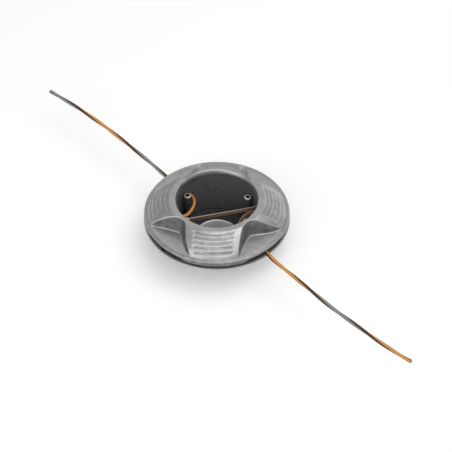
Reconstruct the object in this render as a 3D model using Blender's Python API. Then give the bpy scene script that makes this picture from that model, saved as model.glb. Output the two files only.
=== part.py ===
"""Fixed line trimmer head: a cast cover with four grip lobes over a moulded core and a cast base.

One twisted cutting line is threaded through the core, round two of the cover screws, and leaves the
head at two opposite corners. Lengths are in metres, +Z is up, and the origin is the middle of the
face that the head stands on, which is also where it seats on the machine's spindle.
"""

import math

import bmesh
import bpy
from mathutils import Matrix, Vector

# Clearance between pieces that touch
GAP = 0.0003

# Cover: the widest edge lies at the rim plane, and rises are counted from there
RIM_PLANE = 0.0320
RIM_RADIUS = 0.0606
MOUTH_RADIUS = 0.0332
MOUTH_RISE = 0.0121
MOUTH_LIP_WIDTH = 0.0038
MOUTH_ROUNDING = 0.0011
CREST_RISE = 0.0166
SHOULDER_RISE = 0.0006
FLANK_POWER = 1.6
SKIRT_DROP = 0.0023
SKIRT_WALL = 0.0017
LOBE_WALL = 0.0026
LOBE_COUNT = 4
SEAT_RISE = 0.0002

# Pockets between the lobes, laid out along a diagonal: the foot of the wall is a hyperbola in plan
# that swells into the pocket on one side, and the wall leans back evenly from it
POCKET_FLOOR_RISE = 0.0022
POCKET_LAND = 0.0002
POCKET_CORNER_ROUNDING = 0.0030
POCKET_FLARE = 1.68
POCKET_SWELL = 0.0028
POCKET_SWELL_REACH = 0.0250
POCKET_DRAFT = 12.5

# Grip grooves across each lobe
GROOVE_PITCH = 0.00325
GROOVE_INNER_MARGIN = 0.0047
GROOVE_OUTER_MARGIN = 0.0056
GROOVE_END_MARGIN = 0.0032
GROOVE_DEPTH = 0.00055
GROOVE_CUT_RADIUS = 0.0012

# Core: a deep well with a web and an outer band, moulded in one
WELL_SETBACK = 0.0007
WELL_DRAFT = 0.0010
WELL_WALL = 0.0011
WELL_FLOOR_TOP = 0.0035
WELL_FLOOR_THICKNESS = 0.0012
WELL_CORNER = 0.0008
CHAMBER_WALL = 0.0021
WEB_THICKNESS = 0.0011
BAND_WALL = 0.0020
BAND_CLEARANCE = 0.0007
EXIT_RADIUS = 0.0019
MOUTH_SLOT_WIDTH = 0.0060
LOOP_SLOT_WIDTH = 0.0150

# Base: a flange, a cup round the well and gussets between them
BASE_OVERHANG = 0.0004
FLANGE_TOP_DROP = 0.0050
FLANGE_THICKNESS = 0.0015
CUP_WALL = 0.0019
CUP_BEVEL = 0.0030
BASE_FLOOR = 0.0020
GUSSET_COUNT = 8
GUSSET_THICKNESS = 0.0022
GUSSET_REACH = 0.0150
GUSSET_DEPTH = 0.0110

# Hub with the spindle bore
HUB_FLANGE_RADIUS = 0.0190
HUB_FLANGE_THICKNESS = 0.0012
HUB_CHAMFER = 0.0005
HUB_BODY_RADIUS = 0.0085
HUB_BORE_RADIUS = 0.0051
HUB_SCREW_CIRCLE = 0.0140
HUB_SCREW_COUNT = 3
HUB_SCREW_HEAD_RADIUS = 0.0027
HUB_SCREW_HEAD_HEIGHT = 0.0013
HUB_SCREW_SHANK_RADIUS = 0.0014

# Posts in the well: a sleeve on a long screw
POST_WALL_CLEARANCE = 0.0007
POST_ANGLE = 30.0
POST_RADIUS = 0.0031
POST_TOP_RISE = 0.0050
POST_HEAD_HEIGHT = 0.0012
POST_SHANK_RADIUS = 0.0012
POST_SOCKET_RADIUS = 0.0011
POST_SOCKET_DEPTH = 0.0007
SHANK_CLEARANCE = 0.0003
POST_HOLD = 0.0014

# Cover screws: they come up through the base and a boss of the core into the lobes
COVER_SCREW_STANDOFF = 0.0060
COVER_SCREW_ANGLE = 10.0
COVER_SCREW_SHANK_RADIUS = 0.0016
COVER_SCREW_HEAD_RADIUS = 0.0031
COVER_SCREW_HEAD_HEIGHT = 0.0018
COVER_SCREW_HOLD = 0.0060
CORE_BOSS_RADIUS = 0.0032
LOBE_BOSS_RADIUS = 0.0036

# Cutting line
LINE_RADIUS = 0.00135
LINE_DROP = 0.0030
LINE_TIP_SAG = 0.0010
LINE_STEP = 0.0055
INNER_LINE_STEP = 0.0040

# Facets round a large turned piece, the hub, a screw and a small hole, and where the large ones start
BODY_STEPS = 60
BODY_START = 1.3
HUB_STEPS = 48
SCREW_STEPS = 16
HOLE_STEPS = 12

# Half of the line's run inside the core, in plan: the other half is the same run turned half round
INNER_ROUTE = (
    (-0.0413, 0.0413), (-0.0368, 0.0368), (-0.0312, 0.0314), (-0.0270, 0.0278), (-0.0237, 0.0246),
    (-0.0212, 0.0215), (-0.0197, 0.0181), (-0.0192, 0.0143), (-0.0197, 0.0100), (-0.0209, 0.0061),
    (-0.0229, 0.0021), (-0.0254, -0.0013), (-0.0286, -0.0034), (-0.0326, -0.0038), (-0.0372, -0.0027),
    (-0.0416, -0.0020), (-0.0452, -0.0036), (-0.0467, -0.0072), (-0.0455, -0.0108), (-0.0420, -0.0126),
    (-0.0378, -0.0122), (-0.0338, -0.0106), (-0.0298, -0.0090), (-0.0258, -0.0075), (-0.0216, -0.0061),
    (-0.0148, -0.0041), (-0.0076, -0.0021),
)

# Free ends in plan, from the head's side to the cut tip
LEFT_ROUTE = (
    (-0.0416, 0.0416), (-0.0451, 0.0454), (-0.0495, 0.0505), (-0.0541, 0.0560), (-0.0587, 0.0613),
    (-0.0642, 0.0673), (-0.0697, 0.0733), (-0.0752, 0.0793), (-0.0807, 0.0853), (-0.0921, 0.0972),
    (-0.1036, 0.1090), (-0.1155, 0.1203), (-0.1276, 0.1314), (-0.1402, 0.1420), (-0.1529, 0.1524),
    (-0.1556, 0.1546),
)
RIGHT_ROUTE = (
    (0.0416, -0.0416), (0.0445, -0.0457), (0.0475, -0.0500), (0.0548, -0.0582), (0.0622, -0.0661),
    (0.0693, -0.0739), (0.0765, -0.0816), (0.0835, -0.0893), (0.0905, -0.0970), (0.0977, -0.1042),
    (0.1050, -0.1112), (0.1122, -0.1179), (0.1194, -0.1246), (0.1265, -0.1312), (0.1336, -0.1377),
    (0.1409, -0.1438), (0.1483, -0.1498), (0.1559, -0.1555),
)

# Sizes that follow from the ones above
CREST_RADIUS = MOUTH_RADIUS + MOUTH_LIP_WIDTH
WELL_RADIUS = MOUTH_RADIUS + WELL_SETBACK
POCKET_DEPTH = CREST_RISE - POCKET_FLOOR_RISE
POCKET_CORNER_RADIUS = CREST_RADIUS + POCKET_LAND + POCKET_DEPTH * math.tan(math.radians(POCKET_DRAFT))
GROOVE_FIRST_RADIUS = CREST_RADIUS + GROOVE_INNER_MARGIN
GROOVE_COUNT = 1 + int((RIM_RADIUS - GROOVE_OUTER_MARGIN - GROOVE_FIRST_RADIUS) / GROOVE_PITCH)
COVER_SEAT = RIM_PLANE + SEAT_RISE
LINE_HEIGHT = RIM_PLANE - LINE_DROP
BASE_RADIUS = RIM_RADIUS + BASE_OVERHANG
FLANGE_TOP = RIM_PLANE - FLANGE_TOP_DROP
FLANGE_UNDERSIDE = FLANGE_TOP - FLANGE_THICKNESS
BAND_RADIUS = RIM_RADIUS - SKIRT_WALL - BAND_CLEARANCE
CORE_TOP = RIM_PLANE + MOUTH_RISE - GAP
WEB_TOP = COVER_SEAT - GAP
WEB_UNDERSIDE = WEB_TOP - WEB_THICKNESS
BAND_UNDERSIDE = FLANGE_TOP + GAP
COLLAR_RADIUS = WELL_RADIUS + WELL_WALL + GAP
WELL_FOOT_RADIUS = WELL_RADIUS - WELL_DRAFT
WELL_UNDERSIDE = WELL_FLOOR_TOP - WELL_FLOOR_THICKNESS
HUB_FLANGE_LOW = WELL_FLOOR_TOP + GAP
HUB_FLANGE_TOP = HUB_FLANGE_LOW + HUB_FLANGE_THICKNESS
HUB_HOLE_RADIUS = HUB_BODY_RADIUS + GAP
POST_CIRCLE = WELL_FOOT_RADIUS - POST_RADIUS - POST_WALL_CLEARANCE
COVER_SCREW_CIRCLE = WELL_RADIUS + CHAMBER_WALL + COVER_SCREW_STANDOFF
POST_TOP = RIM_PLANE + POST_TOP_RISE
POST_HEAD_LOW = POST_TOP - POST_HEAD_HEIGHT
POST_HOLE_RADIUS = POST_SHANK_RADIUS + SHANK_CLEARANCE
COVER_SCREW_HOLE_RADIUS = COVER_SCREW_SHANK_RADIUS + SHANK_CLEARANCE


def material(name, colour, roughness, metallic):
    """One Principled finish."""
    made = bpy.data.materials.new(name)
    made.use_nodes = True
    shader = made.node_tree.nodes["Principled BSDF"]
    shader.inputs["Base Color"].default_value = (*colour, 1.0)
    shader.inputs["Roughness"].default_value = roughness
    shader.inputs["Metallic"].default_value = metallic
    made.diffuse_color = (*colour, 1.0)
    return made


def place(name, shape, finish=None):
    """Turns a bmesh into a named object; without a finish it is a cutter."""
    bmesh.ops.remove_doubles(shape, verts=shape.verts, dist=1e-7)
    bmesh.ops.recalc_face_normals(shape, faces=shape.faces)
    mesh = bpy.data.meshes.new(name)
    shape.to_mesh(mesh)
    shape.free()
    thing = bpy.data.objects.new(name, mesh)
    bpy.context.scene.collection.objects.link(thing)
    if finish is None:
        thing.hide_render = True
        thing.display_type = "WIRE"
    else:
        mesh.materials.append(finish)
        mesh.shade_smooth()
        mesh.set_sharp_from_angle(angle=math.radians(30))
    return thing


def combine(target, tool, operation="DIFFERENCE"):
    """Cuts a tool out of a piece, or joins it on."""
    step = target.modifiers.new(tool.name, "BOOLEAN")
    step.operation = operation
    step.solver = "EXACT"
    step.object = tool


def on_circle(radius, degrees):
    """Plan point at a radius and an angle."""
    angle = math.radians(degrees)
    return Vector((radius * math.cos(angle), radius * math.sin(angle), 0.0))


def turn(shape, profile, steps, start=0.0):
    """Spins a closed outline of (radius, height) points right round the axis."""
    corners = [shape.verts.new(on_circle(radius, start) + Vector((0, 0, height)))
               for radius, height in profile]
    edges = [shape.edges.new((corners[i - 1], corners[i])) for i in range(len(corners))]
    bmesh.ops.spin(shape, geom=corners + edges, cent=(0, 0, 0), axis=(0, 0, 1), dvec=(0, 0, 0),
                   angle=math.tau, steps=steps, use_merge=True)


def loft(shape, rings):
    """Bridges rings of equal length in order and closes both ends."""
    rows = [[shape.verts.new(point) for point in ring] for ring in rings]
    count = len(rows[0])
    for low, high in zip(rows, rows[1:]):
        for i in range(count):
            j = (i + 1) % count
            shape.faces.new((low[i], low[j], high[j], high[i]))
    shape.faces.new(rows[0])
    shape.faces.new(rows[-1])


def rod(shape, radius, low, high, centre=(0.0, 0.0), steps=SCREW_STEPS, start=0.0):
    """Upright cylinder between two heights."""
    def ring(height):
        return [Vector((centre[0], centre[1], height)) + on_circle(radius, start + 360.0 * i / steps)
                for i in range(steps)]
    loft(shape, [ring(low), ring(high)])


def cover_rise(radius):
    """Height of the cover's flank over the rim plane: a power curve falling from crest to shoulder."""
    share = max(0.0, (radius - CREST_RADIUS) / (RIM_RADIUS - CREST_RADIUS))
    return CREST_RISE - (CREST_RISE - SHOULDER_RISE) * min(1.0, share) ** FLANK_POWER


def cover_outline():
    """Section of the cover: upright mouth lip with a rounded top, crest, flank, skirt, seat, collar."""
    lip_steps, flank_steps = 3, 10
    points = [(MOUTH_RADIUS, RIM_PLANE + MOUTH_RISE)]
    for i in range(lip_steps + 1):
        angle = math.pi / 2 * i / lip_steps
        points.append((MOUTH_RADIUS + MOUTH_ROUNDING * (1 - math.cos(angle)),
                       RIM_PLANE + CREST_RISE - MOUTH_ROUNDING * (1 - math.sin(angle))))
    for i in range(flank_steps + 1):
        radius = CREST_RADIUS + (RIM_RADIUS - CREST_RADIUS) * i / flank_steps
        points.append((radius, RIM_PLANE + cover_rise(radius)))
    skirt_foot = RIM_PLANE - SKIRT_DROP
    points += [(RIM_RADIUS, skirt_foot), (RIM_RADIUS - SKIRT_WALL, skirt_foot),
               (RIM_RADIUS - SKIRT_WALL, COVER_SEAT), (COLLAR_RADIUS, COVER_SEAT),
               (COLLAR_RADIUS, RIM_PLANE + MOUTH_RISE)]
    return points


def pocket_foot(across):
    """Distance out along the diagonal of the foot of the wall, and its slope there."""
    run = math.hypot(POCKET_CORNER_ROUNDING, across / POCKET_FLARE)
    along = POCKET_CORNER_RADIUS - POCKET_CORNER_ROUNDING + run
    slope = across / POCKET_FLARE ** 2 / run
    if 0 < across < POCKET_SWELL_REACH:
        turn_share = math.pi / POCKET_SWELL_REACH
        along += POCKET_SWELL * math.sin(turn_share * across)
        slope += POCKET_SWELL * turn_share * math.cos(turn_share * across)
    return along, slope


def pocket_plan(degrees, height):
    """Outline of a pocket at one height: its walls stand back from the foot along their normals."""
    half_points = 8
    reach = RIM_RADIUS * 0.62
    lean = math.tan(math.radians(POCKET_DRAFT)) * (height - RIM_PLANE - POCKET_FLOOR_RISE)
    points = []
    for i in range(-half_points, half_points + 1):
        across = reach * (i / half_points) * abs(i / half_points) ** 0.4
        along, slope = pocket_foot(across)
        back = lean / math.hypot(1.0, slope)
        points.append((along - back, across + back * slope))
    far = RIM_RADIUS * 1.25
    points += [(far, points[-1][1]), (far, points[0][1])]
    spin = Matrix.Rotation(math.radians(degrees), 4, "Z")
    return [spin @ Vector((along, across, height)) for along, across in points]


def lobe_half_width(along, height):
    """Half a lobe's width at a distance along its middle, on the side where the wall is straighter."""
    lean = math.tan(math.radians(POCKET_DRAFT)) * (height - RIM_PLANE - POCKET_FLOOR_RISE)
    low, high = 0.0, along
    for _ in range(40):
        middle = (low + high) / 2
        out, across = (along + middle) / math.sqrt(2), (along - middle) / math.sqrt(2)
        foot, slope = pocket_foot(-across)
        if out > foot - lean * math.hypot(1.0, slope):
            high = middle
        else:
            low = middle
    return low


def pocket_angles():
    """The middles of the pockets, halfway between the lobes."""
    return [360.0 / LOBE_COUNT * (i + 0.5) for i in range(LOBE_COUNT)]


def lobe_angles():
    """The middles of the lobes."""
    return [360.0 / LOBE_COUNT * i for i in range(LOBE_COUNT)]


def make_pocket_tool():
    """Everything above the pockets' floors."""
    shape = bmesh.new()
    low = RIM_PLANE + POCKET_FLOOR_RISE
    high = RIM_PLANE + CREST_RISE * 1.1
    for degrees in pocket_angles():
        loft(shape, [pocket_plan(degrees, low), pocket_plan(degrees, high)])
    return place("pocket_tool", shape)


def make_skirt_tool():
    """The skirt is cut back to the rim plane under each pocket."""
    shape = bmesh.new()
    for degrees in pocket_angles():
        outline = pocket_plan(degrees, RIM_PLANE + POCKET_FLOOR_RISE)
        rings = [[Vector((p.x, p.y, height)) for p in outline]
                 for height in (RIM_PLANE - SKIRT_DROP - 0.002, RIM_PLANE)]
        loft(shape, rings)
    return place("skirt_tool", shape)


def make_groove_tool():
    """Grip grooves: round-bottomed arcs that run out of the surface at both ends."""
    shape = bmesh.new()
    stations, sides = 8, 6
    sink = GROOVE_CUT_RADIUS - GROOVE_DEPTH
    for lobe in lobe_angles():
        for number in range(GROOVE_COUNT):
            radius = GROOVE_FIRST_RADIUS + GROOVE_PITCH * number
            surface = RIM_PLANE + cover_rise(radius)
            half = math.degrees((lobe_half_width(radius, surface) - GROOVE_END_MARGIN) / radius)
            rings = []
            for i in range(stations + 1):
                run = 2.0 * i / stations - 1.0
                height = surface + sink + (GROOVE_DEPTH + 0.0004) * run ** 4
                centre = on_circle(1.0, lobe + half * run)
                ring = []
                for j in range(sides):
                    angle = math.tau * (j + 0.5) / sides
                    out = radius + GROOVE_CUT_RADIUS * math.cos(angle)
                    ring.append(centre * out + Vector((0, 0, height + GROOVE_CUT_RADIUS * math.sin(angle))))
                rings.append(ring)
            loft(shape, rings)
    return place("groove_tool", shape)


def make_lobe_hollow_tool():
    """Room under each lobe, one wall thickness inside its skin, around the screw boss."""
    shape = bmesh.new()
    inner = CREST_RADIUS + LOBE_WALL
    outer = RIM_RADIUS - SKIRT_WALL - LOBE_WALL
    rows, columns = 6, 6
    foot = COVER_SEAT - 0.001
    for lobe in lobe_angles():
        spin = Matrix.Rotation(math.radians(lobe), 4, "Z")
        rings = []
        for i in range(rows + 1):
            along = inner + (outer * 0.985 - inner) * i / rows
            round_end = math.sqrt(outer ** 2 - along ** 2)
            roof = RIM_PLANE + cover_rise(along + LOBE_WALL * 0.6) - LOBE_WALL
            wide = min(lobe_half_width(along, RIM_PLANE) - LOBE_WALL * 1.1, round_end)
            narrow = min(lobe_half_width(along, roof) - LOBE_WALL * 1.1, round_end * 0.98)
            ring = [Vector((along, -wide, foot)), Vector((along, wide, foot))]
            for j in range(columns + 1):
                across = narrow * (1.0 - 2.0 * j / columns)
                rise = cover_rise(math.hypot(along, across) + LOBE_WALL * 0.6) - LOBE_WALL
                ring.append(Vector((along, across, RIM_PLANE + rise)))
            rings.append([spin @ point for point in ring])
        loft(shape, rings)
    tool = place("lobe_hollow_tool", shape)
    bosses = bmesh.new()
    for lobe in lobe_angles():
        centre = on_circle(COVER_SCREW_CIRCLE, lobe + COVER_SCREW_ANGLE)
        rod(bosses, LOBE_BOSS_RADIUS, COVER_SEAT - 0.003, RIM_PLANE + CREST_RISE, centre, HOLE_STEPS)
    combine(tool, place("lobe_boss_tool", bosses))
    return tool


def make_cover_screw_hole_tool():
    """Blind holes that the cover screws bite into."""
    shape = bmesh.new()
    for lobe in lobe_angles():
        centre = on_circle(COVER_SCREW_CIRCLE, lobe + COVER_SCREW_ANGLE)
        rod(shape, COVER_SCREW_HOLE_RADIUS, COVER_SEAT - 0.001, COVER_SEAT + COVER_SCREW_HOLD + GAP,
            centre, HOLE_STEPS)
    return place("cover_screw_hole_tool", shape)


def make_cover(finish):
    """Cast cover: a turned dish with pockets, grooves and lobes hollowed from below."""
    shape = bmesh.new()
    turn(shape, cover_outline(), BODY_STEPS, BODY_START)
    cover = place("upper_cover", shape, finish)
    for tool in (make_pocket_tool(), make_skirt_tool(), make_groove_tool(), make_lobe_hollow_tool(),
                 make_cover_screw_hole_tool()):
        combine(cover, tool)
    return cover


def core_outline():
    """Section of the core: well wall, web, outer band and the well's floor with the hub's hole."""
    chamber_radius = WELL_RADIUS + CHAMBER_WALL
    foot = WELL_FOOT_RADIUS
    return [
        (WELL_RADIUS, CORE_TOP), (foot, WELL_FLOOR_TOP + WELL_CORNER),
        (foot - WELL_CORNER * 0.3, WELL_FLOOR_TOP + WELL_CORNER * 0.3), (foot - WELL_CORNER, WELL_FLOOR_TOP),
        (HUB_HOLE_RADIUS, WELL_FLOOR_TOP), (HUB_HOLE_RADIUS, WELL_UNDERSIDE),
        (foot - WELL_CORNER + 0.0002, WELL_UNDERSIDE),
        (foot + WELL_WALL - WELL_CORNER * 0.3, WELL_UNDERSIDE + WELL_CORNER * 0.4),
        (foot + WELL_WALL, WELL_FLOOR_TOP + WELL_CORNER), (WELL_RADIUS + WELL_WALL, FLANGE_TOP - 0.001),
        (WELL_RADIUS + WELL_WALL, BAND_UNDERSIDE), (chamber_radius, BAND_UNDERSIDE),
        (chamber_radius, WEB_UNDERSIDE), (BAND_RADIUS - BAND_WALL, WEB_UNDERSIDE),
        (BAND_RADIUS - BAND_WALL, BAND_UNDERSIDE), (BAND_RADIUS, BAND_UNDERSIDE), (BAND_RADIUS, WEB_TOP),
        (WELL_RADIUS + WELL_WALL, WEB_TOP), (WELL_RADIUS + WELL_WALL, CORE_TOP),
    ]


def make_core_boss_tool():
    """Round bosses in the core's chamber, which the cover screws pass through and the line bends round."""
    shape = bmesh.new()
    for lobe in lobe_angles():
        centre = on_circle(COVER_SCREW_CIRCLE, lobe + COVER_SCREW_ANGLE)
        rod(shape, CORE_BOSS_RADIUS, BAND_UNDERSIDE, WEB_TOP - WEB_THICKNESS / 2, centre)
    return place("core_boss_tool", shape)


def make_line_path_tool():
    """Round exits through the band at the diagonals."""
    shape = bmesh.new()
    sides = HOLE_STEPS
    for degrees in pocket_angles():
        rings = []
        for radius in (BAND_RADIUS - BAND_WALL - 0.002, BAND_RADIUS + 0.002):
            centre = on_circle(radius, degrees) + Vector((0, 0, LINE_HEIGHT))
            across = on_circle(1.0, degrees + 90.0)
            rings.append([centre + across * (EXIT_RADIUS * math.cos(math.tau * i / sides))
                          + Vector((0, 0, (WEB_UNDERSIDE - BAND_UNDERSIDE) * 0.46 * math.sin(math.tau * i / sides)))
                          for i in range(sides)])
        loft(shape, rings)
    return place("line_exit_tool", shape)


def slot_block(shape, degrees, width):
    """Block that opens the well wall from the chamber, over the line's height."""
    rings = []
    for radius in (WELL_RADIUS - 0.002, WELL_RADIUS + CHAMBER_WALL + 0.002):
        along = on_circle(radius, degrees)
        across = on_circle(width / 2, degrees + 90.0)
        low = Vector((0, 0, BAND_UNDERSIDE + GAP))
        high = Vector((0, 0, WEB_UNDERSIDE))
        rings.append([along - across + low, along + across + low, along + across + high, along - across + high])
    loft(shape, rings)


def make_slot_tool():
    """Slots in the well wall: one behind each exit and one beside each cover screw."""
    shape = bmesh.new()
    for degrees in pocket_angles():
        slot_block(shape, degrees, MOUTH_SLOT_WIDTH)
    for lobe in lobe_angles():
        slot_block(shape, lobe + COVER_SCREW_ANGLE, LOOP_SLOT_WIDTH)
    return place("slot_tool", shape)


def post_angles():
    """Angles of the four posts, in pairs either side of the left and right lobes."""
    return [POST_ANGLE, 180.0 - POST_ANGLE, 180.0 + POST_ANGLE, 360.0 - POST_ANGLE]


def hub_screw_angles():
    """Angles of the screws through the hub's flange."""
    return [30.0 + 360.0 / HUB_SCREW_COUNT * i for i in range(HUB_SCREW_COUNT)]


def make_floor_hole_tool(name, low):
    """Holes in the floors for the post screws and the hub screws, down to a given height."""
    shape = bmesh.new()
    top = WELL_FLOOR_TOP + 0.001
    for degrees in post_angles():
        rod(shape, POST_HOLE_RADIUS, low, top, on_circle(POST_CIRCLE, degrees), HOLE_STEPS)
    for degrees in hub_screw_angles():
        rod(shape, HUB_SCREW_SHANK_RADIUS + SHANK_CLEARANCE, low, top,
            on_circle(HUB_SCREW_CIRCLE, degrees), HOLE_STEPS)
    return place(name, shape)


def make_flange_hole_tool(name, low, high):
    """Holes for the cover screws between two heights."""
    shape = bmesh.new()
    for lobe in lobe_angles():
        centre = on_circle(COVER_SCREW_CIRCLE, lobe + COVER_SCREW_ANGLE)
        rod(shape, COVER_SCREW_HOLE_RADIUS, low, high, centre, HOLE_STEPS)
    return place(name, shape)


def make_core(finish):
    """Moulded core with the well, the web over the line's chamber and the dark outer band."""
    shape = bmesh.new()
    turn(shape, core_outline(), BODY_STEPS, BODY_START)
    core = place("core_body", shape, finish)
    combine(core, make_core_boss_tool(), "UNION")
    combine(core, make_line_path_tool())
    combine(core, make_slot_tool())
    combine(core, make_floor_hole_tool("core_floor_hole_tool", WELL_UNDERSIDE - 0.001))
    combine(core, make_flange_hole_tool("core_boss_hole_tool", BAND_UNDERSIDE - 0.001, WEB_TOP + 0.001))
    return core


def base_outline():
    """Section of the base: flange, cup wall round the well and the floor that the head stands on."""
    inner_top = WELL_RADIUS + WELL_WALL + GAP
    inner_foot = WELL_FOOT_RADIUS + WELL_WALL + GAP
    corner = WELL_FLOOR_TOP + WELL_CORNER
    outer_foot = inner_foot + CUP_WALL
    return [
        (HUB_HOLE_RADIUS, 0.0), (outer_foot - CUP_BEVEL, 0.0), (outer_foot - CUP_BEVEL * 0.3, CUP_BEVEL * 0.3),
        (outer_foot, CUP_BEVEL), (inner_top + CUP_WALL, FLANGE_UNDERSIDE), (BASE_RADIUS, FLANGE_UNDERSIDE),
        (BASE_RADIUS, FLANGE_TOP), (inner_top, FLANGE_TOP), (inner_top, FLANGE_TOP - 0.001),
        (inner_foot, corner), (inner_foot - WELL_CORNER * 0.35, BASE_FLOOR + WELL_CORNER * 0.3),
        (inner_foot - WELL_CORNER, BASE_FLOOR), (HUB_HOLE_RADIUS, BASE_FLOOR),
    ]


def make_gusset_tool():
    """Triangular gussets between the cup and the flange's underside."""
    shape = bmesh.new()
    wall = WELL_RADIUS + WELL_WALL + GAP + CUP_WALL
    root = wall - CUP_WALL / 2
    for i in range(GUSSET_COUNT):
        degrees = 360.0 / GUSSET_COUNT * (i + 0.5)
        top = FLANGE_UNDERSIDE + FLANGE_THICKNESS / 2
        corners = [(root, top), (wall + GUSSET_REACH, top), (wall + GUSSET_REACH, FLANGE_UNDERSIDE - 0.0008),
                   (wall + 0.0004, FLANGE_UNDERSIDE - GUSSET_DEPTH), (root, FLANGE_UNDERSIDE - GUSSET_DEPTH)]
        across = on_circle(GUSSET_THICKNESS / 2, degrees + 90.0)
        rings = [[on_circle(radius, degrees) + Vector((0, 0, height)) + across * side
                  for radius, height in corners] for side in (-1, 1)]
        loft(shape, rings)
    return place("gusset_tool", shape)


def make_base(finish):
    """Cast base: flange, cup and gussets in one piece, with blind holes for the post screws."""
    shape = bmesh.new()
    turn(shape, base_outline(), BODY_STEPS, BODY_START)
    base = place("base_plate", shape, finish)
    combine(base, make_gusset_tool(), "UNION")
    combine(base, make_floor_hole_tool("base_floor_hole_tool", BASE_FLOOR - POST_HOLD))
    combine(base, make_flange_hole_tool("base_flange_hole_tool", FLANGE_UNDERSIDE - 0.003, FLANGE_TOP + 0.001))
    return base


def make_hub(finish):
    """Turned hub: a thin flange on the well's floor and a bored body down to the standing face."""
    shape = bmesh.new()
    turn(shape, [
        (HUB_BORE_RADIUS, 0.0), (HUB_BODY_RADIUS, 0.0), (HUB_BODY_RADIUS, HUB_FLANGE_LOW),
        (HUB_FLANGE_RADIUS, HUB_FLANGE_LOW), (HUB_FLANGE_RADIUS, HUB_FLANGE_TOP - HUB_CHAMFER),
        (HUB_FLANGE_RADIUS - HUB_CHAMFER, HUB_FLANGE_TOP), (HUB_BORE_RADIUS + HUB_CHAMFER, HUB_FLANGE_TOP),
        (HUB_BORE_RADIUS, HUB_FLANGE_TOP - HUB_CHAMFER)], HUB_STEPS)
    hub = place("spindle_hub", shape, finish)
    holes = bmesh.new()
    for degrees in hub_screw_angles():
        rod(holes, HUB_SCREW_SHANK_RADIUS + SHANK_CLEARANCE, HUB_FLANGE_LOW - 0.001, HUB_FLANGE_TOP + 0.001,
            on_circle(HUB_SCREW_CIRCLE, degrees), HOLE_STEPS)
    combine(hub, place("hub_hole_tool", holes))
    return hub


def move_to(thing, centre):
    """Sets a piece on its place in plan."""
    thing.location = (centre.x, centre.y, 0.0)


def screw_shape(shank_radius, shank_low, head_low, head_radius, head_top, dome):
    """Turned screw with a domed head above its shank."""
    shape = bmesh.new()
    turn(shape, [
        (0.0, shank_low), (shank_radius, shank_low), (shank_radius, head_low), (head_radius, head_low),
        (head_radius, head_top - dome), (head_radius - dome * 0.4, head_top - dome * 0.3),
        (head_radius - dome, head_top), (0.0, head_top)], SCREW_STEPS)
    return shape


def socket_tool(name, radius, low, high, centre):
    """Hexagonal socket in a screw's head."""
    shape = bmesh.new()
    rod(shape, radius, low, high, centre, 6)
    return place(name, shape)


def make_hub_screws(finish):
    """Short screws that hold the hub's flange and the well's floor to the base."""
    for number, degrees in enumerate(hub_screw_angles(), start=1):
        centre = on_circle(HUB_SCREW_CIRCLE, degrees)
        low = HUB_FLANGE_TOP + GAP
        shape = screw_shape(HUB_SCREW_SHANK_RADIUS, BASE_FLOOR - POST_HOLD + GAP, low,
                            HUB_SCREW_HEAD_RADIUS, low + HUB_SCREW_HEAD_HEIGHT, HUB_SCREW_HEAD_HEIGHT * 0.5)
        screw = place(f"hub_screw_{number}", shape, finish)
        move_to(screw, centre)
        combine(screw, socket_tool(f"hub_screw_socket_{number}", HUB_SCREW_HEAD_RADIUS * 0.5,
                                   low + HUB_SCREW_HEAD_HEIGHT * 0.4, low + HUB_SCREW_HEAD_HEIGHT * 2, centre))


def make_posts(sleeve_finish, screw_finish):
    """Four posts: a smooth sleeve on the well's floor and the screw that clamps it."""
    for number, degrees in enumerate(post_angles(), start=1):
        centre = on_circle(POST_CIRCLE, degrees)
        sleeve = bmesh.new()
        turn(sleeve, [
            (POST_HOLE_RADIUS, WELL_FLOOR_TOP + GAP), (POST_RADIUS, WELL_FLOOR_TOP + GAP),
            (POST_RADIUS, POST_HEAD_LOW - GAP), (POST_HOLE_RADIUS, POST_HEAD_LOW - GAP)], SCREW_STEPS)
        move_to(place(f"post_sleeve_{number}", sleeve, sleeve_finish), centre)
        shape = screw_shape(POST_SHANK_RADIUS, BASE_FLOOR - POST_HOLD + GAP, POST_HEAD_LOW,
                            POST_RADIUS, POST_TOP, POST_HEAD_HEIGHT * 0.4)
        screw = place(f"post_screw_{number}", shape, screw_finish)
        move_to(screw, centre)
        combine(screw, socket_tool(f"post_screw_socket_{number}", POST_SOCKET_RADIUS,
                                   POST_TOP - POST_SOCKET_DEPTH, POST_TOP + 0.001, centre))


def make_cover_screws(finish):
    """Four screws from below, through the base and the core's bosses into the lobes."""
    for number, lobe in enumerate(lobe_angles(), start=1):
        centre = on_circle(COVER_SCREW_CIRCLE, lobe + COVER_SCREW_ANGLE)
        head_top = FLANGE_UNDERSIDE - GAP
        head_low = head_top - COVER_SCREW_HEAD_HEIGHT
        dome = COVER_SCREW_HEAD_HEIGHT * 0.4
        shape = bmesh.new()
        turn(shape, [
            (0.0, head_low), (COVER_SCREW_HEAD_RADIUS - dome, head_low),
            (COVER_SCREW_HEAD_RADIUS - dome * 0.4, head_low + dome * 0.3),
            (COVER_SCREW_HEAD_RADIUS, head_low + dome), (COVER_SCREW_HEAD_RADIUS, head_top),
            (COVER_SCREW_SHANK_RADIUS, head_top), (COVER_SCREW_SHANK_RADIUS, COVER_SEAT + COVER_SCREW_HOLD),
            (0.0, COVER_SEAT + COVER_SCREW_HOLD)], SCREW_STEPS)
        screw = place(f"cover_screw_{number}", shape, finish)
        move_to(screw, centre)
        combine(screw, socket_tool(f"cover_screw_socket_{number}", COVER_SCREW_HEAD_RADIUS * 0.5,
                                   head_low - 0.001, head_low + COVER_SCREW_HEAD_HEIGHT * 0.6, centre))


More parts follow.
